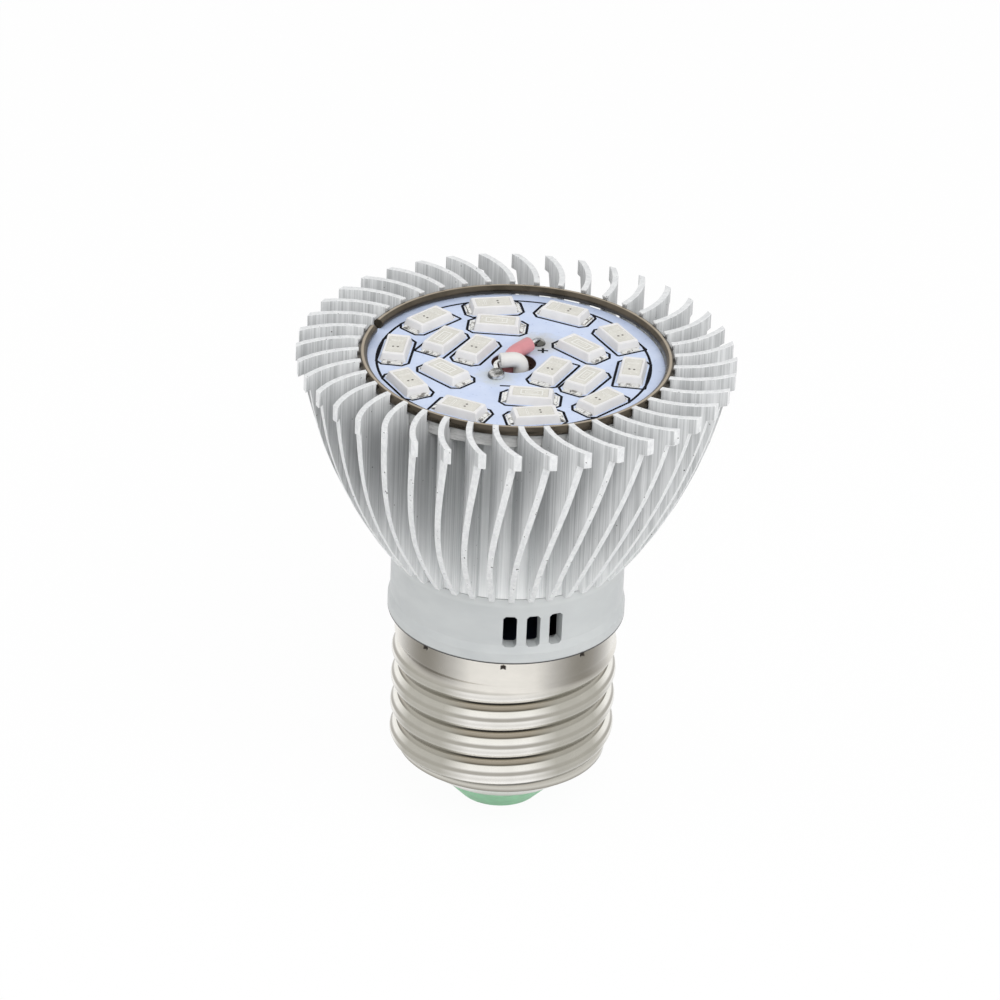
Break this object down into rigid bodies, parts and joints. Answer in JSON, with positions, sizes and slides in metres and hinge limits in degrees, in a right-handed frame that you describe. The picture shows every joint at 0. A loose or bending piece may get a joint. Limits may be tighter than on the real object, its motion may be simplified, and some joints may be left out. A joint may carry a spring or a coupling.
{
  "type": "grow light bulb",
  "caption": "Edison screw bulb with a swept-fin heat sink and an open round board of light emitting diodes.",
  "frame": {"origin": "on the axis, at the underside of the centre contact", "axes": "+Z from the cap up the axis to the board of diodes; +X and +Y across it, with +Y away from the viewer of the picture"},
  "size_m": [0.05, 0.05, 0.0584],
  "materials": {
    "plated_contact": "plated",
    "green_insulator": "semi-gloss",
    "plated_shell": "rolled, satin",
    "white_plastic": "moulded, semi-gloss",
    "bare_aluminium": "extruded and turned",
    "zinc_steel": "zinc plated",
    "bronzed_spring_steel": "darkened spring wire",
    "white_board": "solder mask on aluminium",
    "grey_pad": "soft, matt",
    "cream_package": "moulded",
    "phosphor": "clear resin over pale chips",
    "tinned_metal": "tinned",
    "pink_sleeving": "silicone, matt",
    "white_sleeving": "silicone, matt",
    "solder": "bright solder",
    "green_laminate": "glass fibre laminate",
    "capacitor_sleeve": "shrink sleeve",
    "ferrite": "sintered",
    "yellow_tape": "film tape",
    "red_resin": "dipped resin",
    "black_resin": "moulded",
    "blue_lacquer": "lacquer",
    "wire_insulation": "insulated wire"
  },
  "bodies": {
    "root": {"board_solder": "solder", "bridge_rectifier": "black_resin", "cap_insulator": "green_insulator", "centre_contact": "plated_contact", "chip_resistors": "black_resin", "contact_wire": "wire_insulation", "driver_board": "green_laminate", "driver_chip": "black_resin", "film_capacitor": "red_resin", "fuse_resistor": "blue_lacquer", "heat_sink": "bare_aluminium", "input_capacitor": "capacitor_sleeve", "led_01": "cream_package", "led_02": "cream_package", "led_03": "cream_package", "led_04": "cream_package", "led_05": "cream_package", "led_06": "cream_package", "led_07": "cream_package", "led_08": "cream_package", "led_09": "cream_package", "led_10": "cream_package", "led_11": "cream_package", "led_12": "cream_package", "led_13": "cream_package", "led_14": "cream_package", "led_15": "cream_package", "led_16": "cream_package", "led_17": "cream_package", "led_18": "cream_package", "led_board": "white_board", "led_terminals": "tinned_metal", "led_windows": "phosphor", "neck": "white_plastic", "neck_screws": "zinc_steel", "negative_sleeve": "white_sleeving", "negative_strand": "tinned_metal", "output_capacitor": "capacitor_sleeve", "positive_sleeve": "pink_sleeving", "positive_strand": "tinned_metal", "retaining_ring": "bronzed_spring_steel", "screw_shell": "plated_shell", "shell_wire": "wire_insulation", "thermal_pad": "grey_pad", "transformer_coil": "yellow_tape", "transformer_core": "ferrite"}
  },
  "joints": []
}
